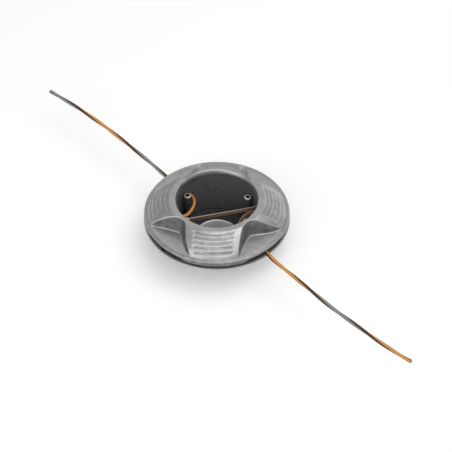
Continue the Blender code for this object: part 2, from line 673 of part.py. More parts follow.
def smooth_run(route, step):
    """Points spaced evenly along the Catmull-Rom curve through a route's own points."""
    ends = [route[0] * 2 - route[1], *route, route[-1] * 2 - route[-2]]
    fine = []
    parts = 12
    for a, b, c, d in zip(ends, ends[1:], ends[2:], ends[3:]):
        for i in range(parts):
            t = i / parts
            fine.append(0.5 * (2 * b + (c - a) * t + (2 * a - 5 * b + 4 * c - d) * t * t
                               + (3 * b - a - 3 * c + d) * t ** 3))
    fine.append(route[-1])
    lengths = [0.0]
    for a, b in zip(fine, fine[1:]):
        lengths.append(lengths[-1] + (b - a).length)
    count = max(2, round(lengths[-1] / step))
    points, at = [], 0
    for i in range(count + 1):
        goal = lengths[-1] * i / count
        while at < len(fine) - 2 and lengths[at + 1] < goal:
            at += 1
        share = (goal - lengths[at]) / (lengths[at + 1] - lengths[at])
        points.append(fine[at].lerp(fine[at + 1], share))
    return points


def make_line(name, points, finish):
    """Round tube along points, with both ends closed."""
    curve = bpy.data.curves.new(name, "CURVE")
    curve.dimensions = "3D"
    curve.bevel_depth = LINE_RADIUS
    curve.bevel_resolution = 2
    curve.use_fill_caps = True
    spline = curve.splines.new("POLY")
    spline.points.add(len(points) - 1)
    for slot, point in zip(spline.points, points):
        slot.co = (*point, 1.0)
    curve.materials.append(finish)
    thing = bpy.data.objects.new(name, curve)
    bpy.context.scene.collection.objects.link(thing)
    return thing


def inner_line_points():
    """The whole run inside the head: the first half, the axis, then the first half turned half round."""
    first = [Vector((x, y, LINE_HEIGHT)) for x, y in INNER_ROUTE]
    second = [Vector((-p.x, -p.y, p.z)) for p in reversed(first)]
    return smooth_run([*first, Vector((0, 0, LINE_HEIGHT)), *second], INNER_LINE_STEP)


def free_end_points(route):
    """A free end held only at the head: it sags with the square of the distance."""
    start, tip = Vector(route[0]), Vector(route[-1])
    points = []
    for place_in_plan in route:
        share = (Vector(place_in_plan) - start).length / (tip - start).length
        points.append(Vector((*place_in_plan, LINE_HEIGHT - LINE_TIP_SAG * share ** 2)))
    return smooth_run(points, LINE_STEP)


def make_lines(finish):
    """The line in three runs: through the core, and one free end at each side."""
    make_line("line_through_core", inner_line_points(), finish)
    make_line("line_end_left", free_end_points(LEFT_ROUTE), finish)
    make_line("line_end_right", free_end_points(RIGHT_ROUTE), finish)


def clear_scene():
    """Starts from an empty file."""
    for thing in list(bpy.data.objects):
        bpy.data.objects.remove(thing, do_unlink=True)


def main():
    """Builds every piece of the head."""
    clear_scene()
    cast = material("cast_aluminium", (0.55, 0.55, 0.55), 0.42, 0.9)
    nylon = material("black_nylon", (0.045, 0.046, 0.048), 0.55, 0.0)
    plate = material("base_aluminium", (0.50, 0.50, 0.50), 0.45, 0.9)
    steel = material("turned_steel", (0.52, 0.53, 0.53), 0.30, 1.0)
    dark_steel = material("dark_steel", (0.10, 0.10, 0.105), 0.35, 0.9)
    screw = material("bright_screw", (0.62, 0.62, 0.61), 0.28, 1.0)
    line = material("orange_line", (0.72, 0.24, 0.03), 0.38, 0.0)
    make_cover(cast)
    make_core(nylon)
    make_base(plate)
    make_hub(steel)
    make_hub_screws(screw)
    make_posts(dark_steel, screw)
    make_cover_screws(screw)
    make_lines(line)


main()
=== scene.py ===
# %% [markdown]
# # A fixed head for a line trimmer
#
# The head is a cast aluminium cover with four grip lobes, over a dark moulded core and a cast base.
# A twisted cutting line runs through the core and leaves it at two opposite corners. The packed
# model gives every piece its real size and place. This file works out a finer surface for each of
# those pieces, and gives each its finish.

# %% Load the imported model
import math

import bpy
import numpy as np
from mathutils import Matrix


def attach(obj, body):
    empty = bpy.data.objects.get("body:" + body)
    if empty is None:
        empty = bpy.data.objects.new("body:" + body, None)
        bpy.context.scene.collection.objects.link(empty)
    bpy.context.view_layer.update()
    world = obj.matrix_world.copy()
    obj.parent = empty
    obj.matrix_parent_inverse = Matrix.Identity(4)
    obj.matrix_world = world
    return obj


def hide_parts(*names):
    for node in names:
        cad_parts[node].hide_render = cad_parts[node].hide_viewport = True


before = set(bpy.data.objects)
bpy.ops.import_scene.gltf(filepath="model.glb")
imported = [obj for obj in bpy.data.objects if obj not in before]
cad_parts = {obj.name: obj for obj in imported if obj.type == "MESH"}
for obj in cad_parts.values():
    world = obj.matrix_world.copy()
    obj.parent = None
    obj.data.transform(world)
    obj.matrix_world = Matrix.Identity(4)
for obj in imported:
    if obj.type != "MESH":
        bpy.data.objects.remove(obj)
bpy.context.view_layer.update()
scene = bpy.context.scene
print("nodes:", len(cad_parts))

# %% [markdown]
# ## Camera
#
# The photograph was taken with a long lens from about one and a half metres, looking down at some
# 45 degrees, with the head turned two degrees. The narrow field keeps the mouth and the rim nearly
# true ellipses. A camera can be set by eye, but the ellipses then never quite close. Here its pitch
# comes from how flat the rim's ellipse is, and its place from the pixel where the rim's centre lies.

# %% Set up the camera
MM = 0.001
RIM_PLANE = 0.032
PHOTO_PX, SENSOR_MM = 452.0, 36.0


def set_camera(distance, pitch, turn, lens, centre_px):
    """Stands back from the rim's centre along the view, then slides so that it falls on a pixel.

    place = rim centre - distance * view - (pixel offset / focal length) * distance * (right, down)
    """
    focal = lens / SENSOR_MM * PHOTO_PX
    a, e = math.radians(turn), math.radians(pitch)
    view = np.array([math.sin(a) * math.cos(e), math.cos(a) * math.cos(e), -math.sin(e)])
    right = np.array([math.cos(a), -math.sin(a), 0.0])
    up = np.cross(right, view)
    shift = (centre_px[0] - PHOTO_PX / 2) * right - (centre_px[1] - PHOTO_PX / 2) * up
    data = bpy.data.cameras.new("photo_camera")
    data.lens, data.sensor_width = lens, SENSOR_MM
    camera = bpy.data.objects.new("photo_camera", data)
    camera.location = np.array([0, 0, RIM_PLANE]) - distance * view - shift * distance / focal
    camera.rotation_euler = (math.pi / 2 - e, 0.0, -a)
    scene.collection.objects.link(camera)
    scene.camera = camera
    print("camera at", [round(v, 4) for v in camera.location])


set_camera(distance=1.5, pitch=44.7, turn=-2.0, lens=143.36, centre_px=(216.9, 212.4))

# %% [markdown]
# ## Closed surfaces from grids
#
# Nearly every piece here is turned or drawn out, so its surface is a grid of points: rows of rings.
# The rings either close on themselves, as in a washer, or end in two flat caps, as in a pin.
# Modelling by hand or with Booleans could give the same forms, but a grid keeps the faces lined up
# with the edges of the shape, so that fillets shade cleanly. A grid can come out inside out, so each
# one has its volume worked out, and is turned where the volume is negative.

# %% Grid helpers
def ring_part(points, close_rows=True, lengthwise=None):
    """Closed shape of a grid of rings (row, column, xyz), with the right side out.

    Its volume is a sixth of the sum of a . (b x c) over its triangles; below nothing, every face
    is read backwards. The UV is (share of the way round, lengthwise value of the row).
    """
    rows, columns = points.shape[:2]
    steps = np.arange(rows if close_rows else rows - 1)
    i, j = np.meshgrid(steps, np.arange(columns), indexing="ij")
    row = np.stack([i, i, i + 1, i + 1], axis=-1).reshape(-1, 4)
    column = np.stack([j, j + 1, j + 1, j], axis=-1).reshape(-1, 4)
    faces = (row % rows) * columns + column % columns
    places = points.reshape(-1, 3)
    a, b, c, d = places[faces].transpose(1, 0, 2)
    volume = (np.sum(a * np.cross(b, c)) + np.sum(a * np.cross(c, d))) / 6.0
    along = np.arange(rows) / rows if lengthwise is None else lengthwise
    uv = np.stack([column / columns, along[row % rows]], axis=-1)
    caps = []
    if not close_rows:
        caps = [np.arange(columns)[::-1], (rows - 1) * columns + np.arange(columns)]
        volume += sum(np.sum(places[ring[0]] * np.cross(places[ring], places[np.roll(ring, -1)]))
                      for ring in caps) / 6.0
    if volume < 0:
        faces, uv, caps = faces[:, ::-1], uv[:, ::-1], [ring[::-1] for ring in caps]
    cap_uv = [np.stack([ring % columns / columns, along[ring // columns]], axis=-1)
              for ring in caps]
    return {"places": places, "volume": abs(volume),
            "loops": np.concatenate([faces.ravel(), *caps]),
            "sizes": np.concatenate([np.full(len(faces), 4), [columns] * len(caps)]).astype(int),
            "uv": np.concatenate([uv.reshape(-1, 2), *cap_uv])}


pieces = []


def make_piece(name, node, parts, sharp, tone=None):
    """Puts closed parts into one mesh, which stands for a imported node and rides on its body. Edges
    that turn by more than the sharp angle, in degrees, are shaded as edges."""
    shifts = np.cumsum([0] + [len(part["places"]) for part in parts[:-1]])
    places = np.concatenate([part["places"] for part in parts])
    loops = np.concatenate([part["loops"] + shift for part, shift in zip(parts, shifts)])
    sizes = np.concatenate([part["sizes"] for part in parts])
    uv = np.concatenate([part["uv"] for part in parts])
    mesh = bpy.data.meshes.new(name)
    mesh.vertices.add(len(places))
    mesh.vertices.foreach_set("co", places.ravel().astype(np.float32))
    mesh.loops.add(len(loops))
    mesh.loops.foreach_set("vertex_index", loops.astype(np.int32))
    mesh.polygons.add(len(sizes))
    mesh.polygons.foreach_set("loop_start", (np.cumsum(sizes) - sizes).astype(np.int32))
    mesh.update(calc_edges=True)
    mesh.uv_layers.new(name="UVMap").data.foreach_set("uv", uv.ravel().astype(np.float32))
    if tone is not None:
        layer = mesh.attributes.new("tone", "FLOAT", "POINT")
        layer.data.foreach_set("value", tone.ravel().astype(np.float32))
    mesh.shade_smooth()
    mesh.set_sharp_from_angle(angle=math.radians(sharp))
    piece = bpy.data.objects.new(name, mesh)
    scene.collection.objects.link(piece)
    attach(piece, "root")
    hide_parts(node)
    pieces.append(piece)
    volume = sum(part["volume"] for part in parts)
    print(f"{name}: {len(sizes)} faces, {volume / MM ** 3:.0f} mm3")
    return piece


# %% [markdown]
# ## The cutting line
#
# The line is a twisted square filament, cut square at its tips. Its faces are orange, brown, grey
# and brown, and come round to the eye in turn. It is a rounded square carried along a path: at each
# point a frame stands on the path's direction, and the section turns in it. A curve with a round
# bevel would be quicker, but it can't show the twist.

# %% Line section and paths
LINE_HEIGHT, LINE_DIAMETER = 29.0 * MM, 2.7 * MM
FREE_HALF_SIDE, INNER_HALF_SIDE = 1.3 * MM, 1.4 * MM
PATH_STEP = 1.1 * MM
SECTION_COLUMNS = 40


def smooth_path(route):
    """Evenly spaced points on the Catmull-Rom curve through a route, and how far along each is: at
    share t between b and c the curve is half of 2b + (c-a)t + (2a-5b+4c-d)t^2 + (3b-a-3c+d)t^3."""
    p = np.concatenate([[2 * route[0] - route[1]], route, [2 * route[-1] - route[-2]]])
    t = np.linspace(0.0, 1.0, 24, endpoint=False)[None, :, None]
    a, b, c, d = (q[:, None, :] for q in (p[:-3], p[1:-2], p[2:-1], p[3:]))
    fine = 0.5 * (2 * b + (c - a) * t + (2 * a - 5 * b + 4 * c - d) * t ** 2
                  + (3 * b - a - 3 * c + d) * t ** 3)
    fine = np.concatenate([fine.reshape(-1, 3), route[-1:]])
    run = np.concatenate([[0.0], np.cumsum(np.linalg.norm(np.diff(fine, axis=0), axis=1))])
    goal = np.linspace(0.0, run[-1], max(2, round(run[-1] / PATH_STEP)) + 1)
    return np.stack([np.interp(goal, run, fine[:, k]) for k in range(3)], axis=1), goal


def line_part(path, run, turned, half_side):
    """Rounded square carried along a path and turned at each point by an angle: the section's radius
    is the half side over the eighth root of cos^8 + sin^8."""
    along = np.gradient(path, axis=0)
    along /= np.linalg.norm(along, axis=1)[:, None]
    upright = np.array([0.0, 0.0, 1.0]) - along[:, 2:3] * along
    upright /= np.linalg.norm(upright, axis=1)[:, None]
    aside = np.cross(along, upright)
    around = np.linspace(0.0, 2 * math.pi, SECTION_COLUMNS, endpoint=False)
    size = half_side / (np.cos(around) ** 8 + np.sin(around) ** 8) ** 0.125
    angle = around[None, :] + turned[:, None]
    points = (path[:, None, :] + aside[:, None, :] * (size * np.cos(angle))[:, :, None]
              + upright[:, None, :] * (size * np.sin(angle))[:, :, None])
    return ring_part(points, close_rows=False, lengthwise=run * 10.0)


def free_route(points, sag=1.0 * MM):
    """A free end held only at the head: it sags with the square of the distance."""
    flat = np.array(points)
    reach = np.linalg.norm(flat - flat[0], axis=1)
    return np.column_stack([flat, LINE_HEIGHT - sag * (reach / reach[-1]) ** 2])


LEFT_ROUTE = free_route([
    (-0.0416, 0.0416), (-0.0451, 0.0454), (-0.0495, 0.0505), (-0.0541, 0.0560),
    (-0.0587, 0.0613), (-0.0642, 0.0673), (-0.0697, 0.0733), (-0.0752, 0.0793),
    (-0.0807, 0.0853), (-0.0921, 0.0972), (-0.1036, 0.1090), (-0.1155, 0.1203),
    (-0.1276, 0.1314), (-0.1402, 0.1420), (-0.1529, 0.1524), (-0.1556, 0.1546)])
RIGHT_ROUTE = free_route([
    (0.0416, -0.0416), (0.0445, -0.0457), (0.0475, -0.0500), (0.0548, -0.0582),
    (0.0622, -0.0661), (0.0693, -0.0739), (0.0765, -0.0816), (0.0835, -0.0893),
    (0.0905, -0.0970), (0.0977, -0.1042), (0.1050, -0.1112), (0.1122, -0.1179),
    (0.1194, -0.1246), (0.1265, -0.1312), (0.1336, -0.1377), (0.1409, -0.1438),
    (0.1483, -0.1498), (0.1559, -0.1555)])
print("route points:", len(LEFT_ROUTE), len(RIGHT_ROUTE))

# %% [markdown]
# The run inside the head enters at the back left corner, bends round a cover screw, crosses the well
# and repeats the same bends the other way round. So only half of it is written down, and the other
# half is that one turned half round the axis. It was wound in by hand, so its twist is uneven, and
# the angles are given at a few distances along it. A free end turns evenly, once in about 126 mm.

# %% Line surfaces
INNER_HALF = np.array([
    (-0.0413, 0.0413), (-0.0368, 0.0368), (-0.0312, 0.0314), (-0.0270, 0.0278),
    (-0.0237, 0.0246), (-0.0212, 0.0215), (-0.0197, 0.0181), (-0.0192, 0.0143),
    (-0.0197, 0.0100), (-0.0209, 0.0061), (-0.0229, 0.0021), (-0.0254, -0.0013),
    (-0.0286, -0.0034), (-0.0326, -0.0038), (-0.0372, -0.0027), (-0.0416, -0.0020),
    (-0.0452, -0.0036), (-0.0467, -0.0072), (-0.0455, -0.0108), (-0.0420, -0.0126),
    (-0.0378, -0.0122), (-0.0338, -0.0106), (-0.0298, -0.0090), (-0.0258, -0.0075),
    (-0.0216, -0.0061), (-0.0148, -0.0041), (-0.0076, -0.0021)])
inner_flat = np.concatenate([INNER_HALF, [(0.0, 0.0)], -INNER_HALF[::-1]])
INNER_ROUTE = np.column_stack([inner_flat, np.full(len(inner_flat), LINE_HEIGHT)])
INNER_RUN = (0.0, 0.028, 0.052, 0.102, 0.156, 0.206, 0.258)
INNER_DEGREES = (166.5, 60.0, 120.0, -55.0, -33.0, -165.0, -230.5)


def inner_twist(run):
    """Angle on straight lines between the given ones."""
    return np.radians(np.interp(run, INNER_RUN, INNER_DEGREES))


def even_twist(start, pitch):
    """Angle that falls from the start by one turn in every pitch."""
    return lambda run: start - 2 * math.pi * run / pitch


def add_line(name, node, route, twist, half_side):
    """One run of the line, with the path that it follows and the distance along it."""
    path, run = smooth_path(route)
    part = line_part(path, run, twist(run), half_side)
    piece = make_piece(name, node, [part], sharp=60.0)
    print(name, "length mm:", round(run[-1] / MM, 1))
    return piece, path, run


def add_free_end(name, node, route, twist):
    """A free end of the line."""
    piece, path, run = add_line(name, node, route, twist, FREE_HALF_SIDE)


add_line("line_inside", "line_through_core", INNER_ROUTE, inner_twist, INNER_HALF_SIDE)
add_free_end("line_left", "line_end_left", LEFT_ROUTE, even_twist(0.235, 0.127))
add_free_end("line_right", "line_end_right", RIGHT_ROUTE, even_twist(2.26, 0.125))

# %% [markdown]
# ## The cover's form
#
# The cover is a turned dish: an upright mouth with a lip that opens upwards, a flat crest, and a
# flank that falls to a low band along the rim. Four pockets are sunk into it between the lobes. A
# pocket's floor is level with the band, and the foot of its wall is a hyperbola that swells a little
# on one side. From there the wall leans back at 12.5 degrees. The height of any point is the lowest
# of flank and wall. A soft lowest, which rounds the crease between two heights, gives the fillets of
# the casting.

# %% Heights of the cover, in millimetres over the rim plane
MOUTH, LIP, CREST, RIM = 33.2, 34.8, 37.0, 60.6
CREST_RISE, CREST_SLOPE, CREST_FILLET = 16.6, 0.02, 0.25
BAND_RISE, BAND_ROUNDING = 2.2, 1.3
FLANK_RISE, FLANK_FALL, FLANK_POWER = 17.1, 16.5, 1.45
TURN_START, TURN_RUN, TURN_FALL = 53.0, 4.9, 0.9
FOOT, ROUNDING, FLARE, DRAFT = 40.4, 3.0, 1.68, math.tan(math.radians(12.5))
SWELL, SWELL_REACH, WALL_SOFTNESS = 2.8, 25.0, 0.22
TURNED_LINE, TURNED_DEPTH, TURNED_HALF_WIDTH = 58.2, 0.3, 0.45


def soft_lowest(a, b, width):
    """The lower of two heights, less a quarter of the width where they meet, fading to nothing."""
    near = np.clip(1.0 - np.abs(a - b) / width, 0.0, 1.0)
    return np.minimum(a, b) - width * near ** 2 / 4.0


def dish_rise(r):
    """Nearly flat from the lip to the crest, then less a power of the way from there to the rim, and
    less a square of the way over the last few millimetres, where the flank turns down."""
    flat = CREST_RISE - CREST_SLOPE * (r - LIP)
    share = np.clip((r - CREST) / (RIM - CREST), 0.0, 1.2)
    turn = np.clip((r - TURN_START) / TURN_RUN, 0.0, 1.2)
    flank = FLANK_RISE - FLANK_FALL * share ** FLANK_POWER - TURN_FALL * turn ** 2
    return soft_lowest(flat, flank, CREST_FILLET)


def beyond_foot(r, phi):
    """How far a point lies outside a pocket's foot, which is a hyperbola plus half a sine wave on one
    side: the foot less the way along the diagonal, divided by the length of the foot's slope."""
    along, across = r * np.cos(phi), r * np.sin(phi)
    run = np.hypot(ROUNDING, across / FLARE)
    side = (across > 0) & (across < SWELL_REACH)
    wave = math.pi * across / SWELL_REACH
    foot = FOOT - ROUNDING + run + SWELL * np.sin(wave) * side
    slope = across / FLARE ** 2 / run + SWELL * math.pi / SWELL_REACH * np.cos(wave) * side
    return (foot - along) / np.hypot(1.0, slope)


def wall_rise(r, phi):
    """Floor height, plus the leaning wall with a rounded foot: a soft ramp of the distance."""
    away = np.clip(beyond_foot(r, phi) / WALL_SOFTNESS, -60, 60)
    return BAND_RISE + WALL_SOFTNESS * np.logaddexp(0.0, away) / DRAFT


def band_rise(r):
    """Level band with a faint turned line in it and a quarter circle at the rim."""
    edge = np.clip(r - (RIM - BAND_ROUNDING), 0.0, BAND_ROUNDING)
    line = TURNED_DEPTH * np.exp(-((r - TURNED_LINE) / TURNED_HALF_WIDTH) ** 2)
    return BAND_RISE - BAND_ROUNDING + np.sqrt(BAND_ROUNDING ** 2 - edge ** 2) - line


print("crest at", CREST_RISE, "mm over the rim plane; pocket floor at", BAND_RISE)

# %% [markdown]
# ## Grip grooves
#
# Each lobe has five shallow round grooves, which follow the rim and fade out before the lobe's
# edges. They could be a bump in the material, but the light catches real ones at the silhouette.

# %% Grooves
GROOVES = 41.7 + 3.25 * np.arange(5)
GROOVE_DEPTH, GROOVE_HALF_WIDTH = 0.62, 0.95
GROOVE_REACH, GROOVE_OFFSET, GROOVE_FADE = 16.6, 1.2, 0.45


def groove_depth(r, theta):
    """Sum of five round valleys, each a bell of the distance from its middle, times a fade that is
    one over the lobe's middle and falls to nothing near its sides."""
    lobe = (theta + math.pi / 4) % (math.pi / 2) - math.pi / 4
    past_end = np.abs(r * lobe + GROOVE_OFFSET) - GROOVE_REACH
    fade = 1.0 / (1.0 + np.exp(past_end / GROOVE_FADE))
    valleys = sum(np.exp(-np.abs((r - middle) / GROOVE_HALF_WIDTH) ** 2.6) for middle in GROOVES)
    return GROOVE_DEPTH * valleys * fade


print("groove radii:", GROOVES)

# %% [markdown]
# ## The cover's tones
#
# Besides its place, each point of the cover gets a tone, for the finish. The tone is low on the walls
# of the pockets, in the grooves, at the rim and on the skirt and underside, all as painted shade. It
# is raised on the lip as a painted highlight, and high along the edges, where handling polishes the
# metal. The back lobe's edges lose that polish and its top is darkened as painted shade, and a
# stretch along each side edge is painted dark as a painted shadow. A painted map could say the same,
# but the tones follow the shape by themselves when it changes.

# %% Tones
# The lip's raised tone is a painted highlight; the skirt's low tone is painted shade on the skirt and
# underside.
PLAIN_TONE, LIP_PAINTED_HIGHLIGHT, SKIRT_PAINTED_SHADE = 0.55, 0.7, 0.12
EDGE_GAIN, FLOOR_GAIN = 0.2, 0.06
WALL_PAINTED_SHADE, GROOVE_PAINTED_SHADE, RIM_PAINTED_SHADE, BACK_PAINTED_SHADE, RIDGE_PAINTED_SHADOW = 0.5, 0.22, 0.22, 0.26, 1.1
BACK_DEGREES, BACK_REACH = 90.0, 50.0
LEFT_STRETCH, RIGHT_STRETCH = (45.5, 56.0), (37.5, 51.5)


def cover_polish_and_painted_light(r, theta, flank, wall, heights):
    """A plain tone with gains and losses, each times a bell or a ramp of the radius or of how far the
    wall lies over the flank: that is below nothing on the wall, and small at the edge. The edge gain
    is polish; the losses are painted shade, and the back lobe's dark stretch is a painted shadow."""
    over = wall - flank
    on_wall = np.clip(0.2 - over / 1.2, 0.0, 1.0) * np.clip((wall - 2.4) / 1.0, 0.0, 1.0)
    on_edge = np.exp(-((over - 1.2) / 1.2) ** 2) * np.clip((heights - 3.0) / 2.0, 0.0, 1.0)
    on_floor = np.clip(over / -2.0, 0.0, 1.0) * np.clip((2.7 - heights) / 0.3, 0.0, 1.0)
    on_line = np.exp(-((r - TURNED_LINE) / 0.5) ** 2)
    on_rim = np.clip((r - 59.2) / 1.2, 0.0, 1.0) + 0.8 * on_line
    # Painted shade on the back lobe: its edge polish is taken out and its top darkened, and a stretch
    # along each side edge is painted dark as the ridge's shadow.
    from_back = np.degrees(theta) - BACK_DEGREES
    on_back = np.abs(from_back) < BACK_REACH
    back_shade = on_back * np.clip(58.0 - r, 0.0, 1.0)
    start, end = (np.where(from_back > 0, left, right)
                  for left, right in zip(LEFT_STRETCH, RIGHT_STRETCH))
    dark = on_back * np.clip(r - start, 0.0, 1.0) * np.clip(end - r, 0.0, 1.0)
    # Painted shade: the losses on the pocket walls, in the grooves and at the rim.
    return (PLAIN_TONE + EDGE_GAIN * on_edge * (1.0 - back_shade) + FLOOR_GAIN * on_floor * (1.0 - on_wall)
            - WALL_PAINTED_SHADE * on_wall - GROOVE_PAINTED_SHADE * groove_depth(r, theta) / GROOVE_DEPTH
            - RIM_PAINTED_SHADE * on_rim - RIDGE_PAINTED_SHADOW * dark * np.exp(-((over - 1.4) / 3.4) ** 2)
            - BACK_PAINTED_SHADE * back_shade * np.exp(-((over - 11.0) / 10.0) ** 2))


print("tones: plain", PLAIN_TONE, "lip", LIP_PAINTED_HIGHLIGHT, "skirt", SKIRT_PAINTED_SHADE)

# %% [markdown]
# ## The cover's grid
#
# Every column of the grid is a closed outline of the cover at one angle, so the whole is one closed
# ring. In a pocket the outline crosses the wall, and the points crowd together there: the radii of
# the wall's top and of its foot are solved for each column by halving an interval, and the points
# are shared out between them. An even grid would need many more faces for the same edge.

# %% Cover surface
COVER_COLUMNS = 640
TOP_ROWS, WALL_ROWS, FLOOR_ROWS, BAND_ROWS = 62, 31, 8, 9
SEARCH_START, SEARCH_END, BAND_START, BAND_END = 36.0, 57.0, 57.4, 59.25
WALL_MARGIN, LEAST_WALL, LAST_START, LAST_END = 0.7, 0.6, 56.0, 57.2
EDGE_SHARE, LEAST_EDGE, MOST_EDGE, BAND_FILLET = 0.8, 0.12, 1.8, 0.3
POCKET_HALF_ANGLE, POCKET_FADE, SKIRT_DROP = 19.0, 1.6, 2.3


def crossing(level, low, high):
    """Radius at which a falling function of radius passes zero, found by halving 40 times."""
    low, high = low.copy(), high.copy()
    for _ in range(40):
        middle = (low + high) / 2.0
        above = level(middle) > 0
        low, high = np.where(above, middle, low), np.where(above, high, middle)
    return (low + high) / 2.0


def spread(a, b, count):
    """Rows of radii evenly shared between two radii that vary with the column."""
    return a[None, :] + (b - a)[None, :] * ((np.arange(count) + 0.5) / count)[:, None]


def cover_surface(columns):
    """Closed outlines (row, column, xyz) and tones: lip, top, rim, skirt and underside."""
    theta = np.linspace(0.0, 2 * math.pi, columns, endpoint=False)
    phi = theta % (math.pi / 2) - math.pi / 4
    one = np.ones(columns)
    top_edge = crossing(lambda r: wall_rise(r, phi) - dish_rise(r),
                        SEARCH_START * one, SEARCH_END * one)
    foot_edge = crossing(lambda r: beyond_foot(r, phi), SEARCH_START * one, BAND_START * one)
    wall_start = np.minimum(top_edge - WALL_MARGIN, LAST_START)
    wall_end = np.clip(foot_edge + WALL_MARGIN, wall_start + LEAST_WALL, LAST_END)
    turned_in = BAND_ROUNDING * (1 - np.sin(np.radians(np.linspace(0, 84, 7))))
    radii = np.concatenate([
        spread(LIP * one, wall_start, TOP_ROWS), spread(wall_start, wall_end, WALL_ROWS),
        spread(wall_end, BAND_START * one, FLOOR_ROWS),
        spread(BAND_START * one, BAND_END * one, BAND_ROWS),
        RIM - turned_in[:, None] * one])
    flank = dish_rise(radii) - groove_depth(radii, theta)
    wall = wall_rise(radii, phi)
    edge_width = np.clip((wall - BAND_RISE) * EDGE_SHARE, LEAST_EDGE, MOST_EDGE)
    top = soft_lowest(flank, wall, edge_width)
    heights = -soft_lowest(-top, -band_rise(radii), BAND_FILLET)
    tone = cover_polish_and_painted_light(radii, theta, flank, wall, heights)
    share = np.linspace(0.0, 1.0, 10)[:-1]
    lip_r = np.concatenate([[MOUTH, MOUTH], MOUTH + (LIP - MOUTH) * share])
    lip_z = np.concatenate([[12.25, 13.0], CREST_RISE - 3.0 * (1.0 - share) ** 1.6])
    past_pocket = np.degrees(np.abs(phi)) - POCKET_HALF_ANGLE
    bottom = SKIRT_DROP * (1.0 / (1.0 + np.exp(past_pocket / POCKET_FADE)) - 1.0)
    skirt = [(RIM, 0.75), (RIM, 0.4), (RIM, bottom + 0.3), (RIM - 0.1, bottom + 0.1),
             (RIM - 0.3, bottom), (59.1, bottom), (58.9, bottom + 0.2), (58.9, 0.25), (58.7, 0.2),
             (35.5, 0.2), (35.3, 0.4), (35.3, 12.0), (35.2, 12.1), (33.4, 12.1)]
    radii = np.concatenate([lip_r[:, None] * one, radii, [r * one for r, _ in skirt]])
    heights = np.concatenate([lip_z[:, None] * one, heights, [z * one for _, z in skirt]])
    tone = np.concatenate([np.full((len(lip_r), columns), LIP_PAINTED_HIGHLIGHT), tone,
                           np.full((len(skirt), columns), SKIRT_PAINTED_SHADE)])
    return np.stack([radii * np.cos(theta) * MM, radii * np.sin(theta) * MM,
                     RIM_PLANE + heights * MM], axis=-1), tone


cover_grid, cover_polish_and_light_tones = cover_surface(COVER_COLUMNS)
make_piece("cast_cover", "upper_cover", [ring_part(cover_grid)], sharp=70.0,
           tone=cover_polish_and_light_tones)
print("triangles of the cover:", 2 * cover_grid.shape[0] * cover_grid.shape[1])

# %% [markdown]
# ## Turned pieces
#
# The base, the hub, the sleeves and the screws are turned, so each is an outline carried round
# an axis. Blender's Screw modifier does that too. Working the points out here lets an outline
# turn from round into six-sided on its way down, which makes the socket of a screw.

# %% Turning helper
TURNED_COLUMNS = 48
SIXTH = math.pi / 3


def turned_part(outline, centre=(0.0, 0.0), columns=TURNED_COLUMNS, closed=False):
    """Outline of (radius, height) or (radius, height, 1) in mm carried round an upright axis.

    A 1 makes a ring six-sided: its radius is then r cos 30 / cos(angle modulo 60 - 30 degrees).
    """
    rows = np.array([(*row, 0.0)[:3] for row in outline])
    around = np.linspace(0.0, 2 * math.pi, columns, endpoint=False)
    sides = math.cos(SIXTH / 2) / np.cos(around % SIXTH - SIXTH / 2)
    r = rows[:, :1] * (1.0 + rows[:, 2:] * (sides - 1.0))
    height = np.broadcast_to(rows[:, 1:2], r.shape)
    points = [centre[0] + r * np.cos(around), centre[1] + r * np.sin(around), height]
    return ring_part(np.stack(points, axis=-1) * MM, close_rows=closed)


def arc(centre_r, centre_z, radius, start, end, count):
    """Points of a circle's arc in an outline, between two angles in degrees."""
    t = np.radians(np.linspace(start, end, count))
    return list(zip(centre_r + radius * np.cos(t), centre_z + radius * np.sin(t)))


def on_circle(radius, degrees):
    """Place on a circle round the head's axis."""
    return radius * math.cos(math.radians(degrees)), radius * math.sin(math.radians(degrees))


print("socket flats at", round(math.cos(SIXTH / 2), 3), "of the corner radius")

# %% [markdown]
# ## The core
#
# The core is moulded: a deep centre well, a web under the cover and the dark band below its skirt.
# Slots in the well's wall let the line in and out, and oval holes in the band let it leave. All
# this is one outline carried round, in which the slots are windows of angle and height. Inside a
# window the wall's points move fifteen millimetres or more, so that each slot is a deep dark
# recess. Booleans would cut them too, but leave ragged faces.

# %% Core outline, in millimetres
EXITS, LOOPS = np.array([45.0, 135.0, 225.0, 315.0]), np.array([10.0, 190.0])
WELL_R, BAND_R, WIDE_BAND_R, WIDE_BAND_TOP = 33.6, 58.2, 60.1, 29.45
EXIT_HALF, EXIT_DEPTH, LOOP_HALF, LOOP_DEPTH = 3.0, 17.0, 7.5, 15.0
SLOT_LOW, SLOT_HIGH = 27.6, 30.8
HOLE_HALF_WIDTH, HOLE_HALF_HEIGHT, HOLE_MIDDLE, HOLE_DEPTH = 1.9, 1.6, 29.05, 10.0


def core_angles():
    """One column a degree, closer across the exits, and a pair on both sides of every slot's edge."""
    pairs = [(at[:, None] + sign * math.degrees(half / WELL_R) + np.array([-0.03, 0.03])).ravel()
             for at, half in ((EXITS, EXIT_HALF), (LOOPS, LOOP_HALF)) for sign in (-1, 1)]
    close = (EXITS[:, None] + np.linspace(-2.4, 2.4, 25)).ravel()
    degrees = np.concatenate([np.arange(0.0, 360.0), close, *pairs])
    return np.radians(np.unique(np.round(degrees, 4)))


def apart(theta, at):
    """Angle in radians from the nearest of some directions in degrees."""
    gap = (theta[:, None] - np.radians(at)[None, :] + math.pi) % (2 * math.pi) - math.pi
    return np.min(np.abs(gap), axis=1)


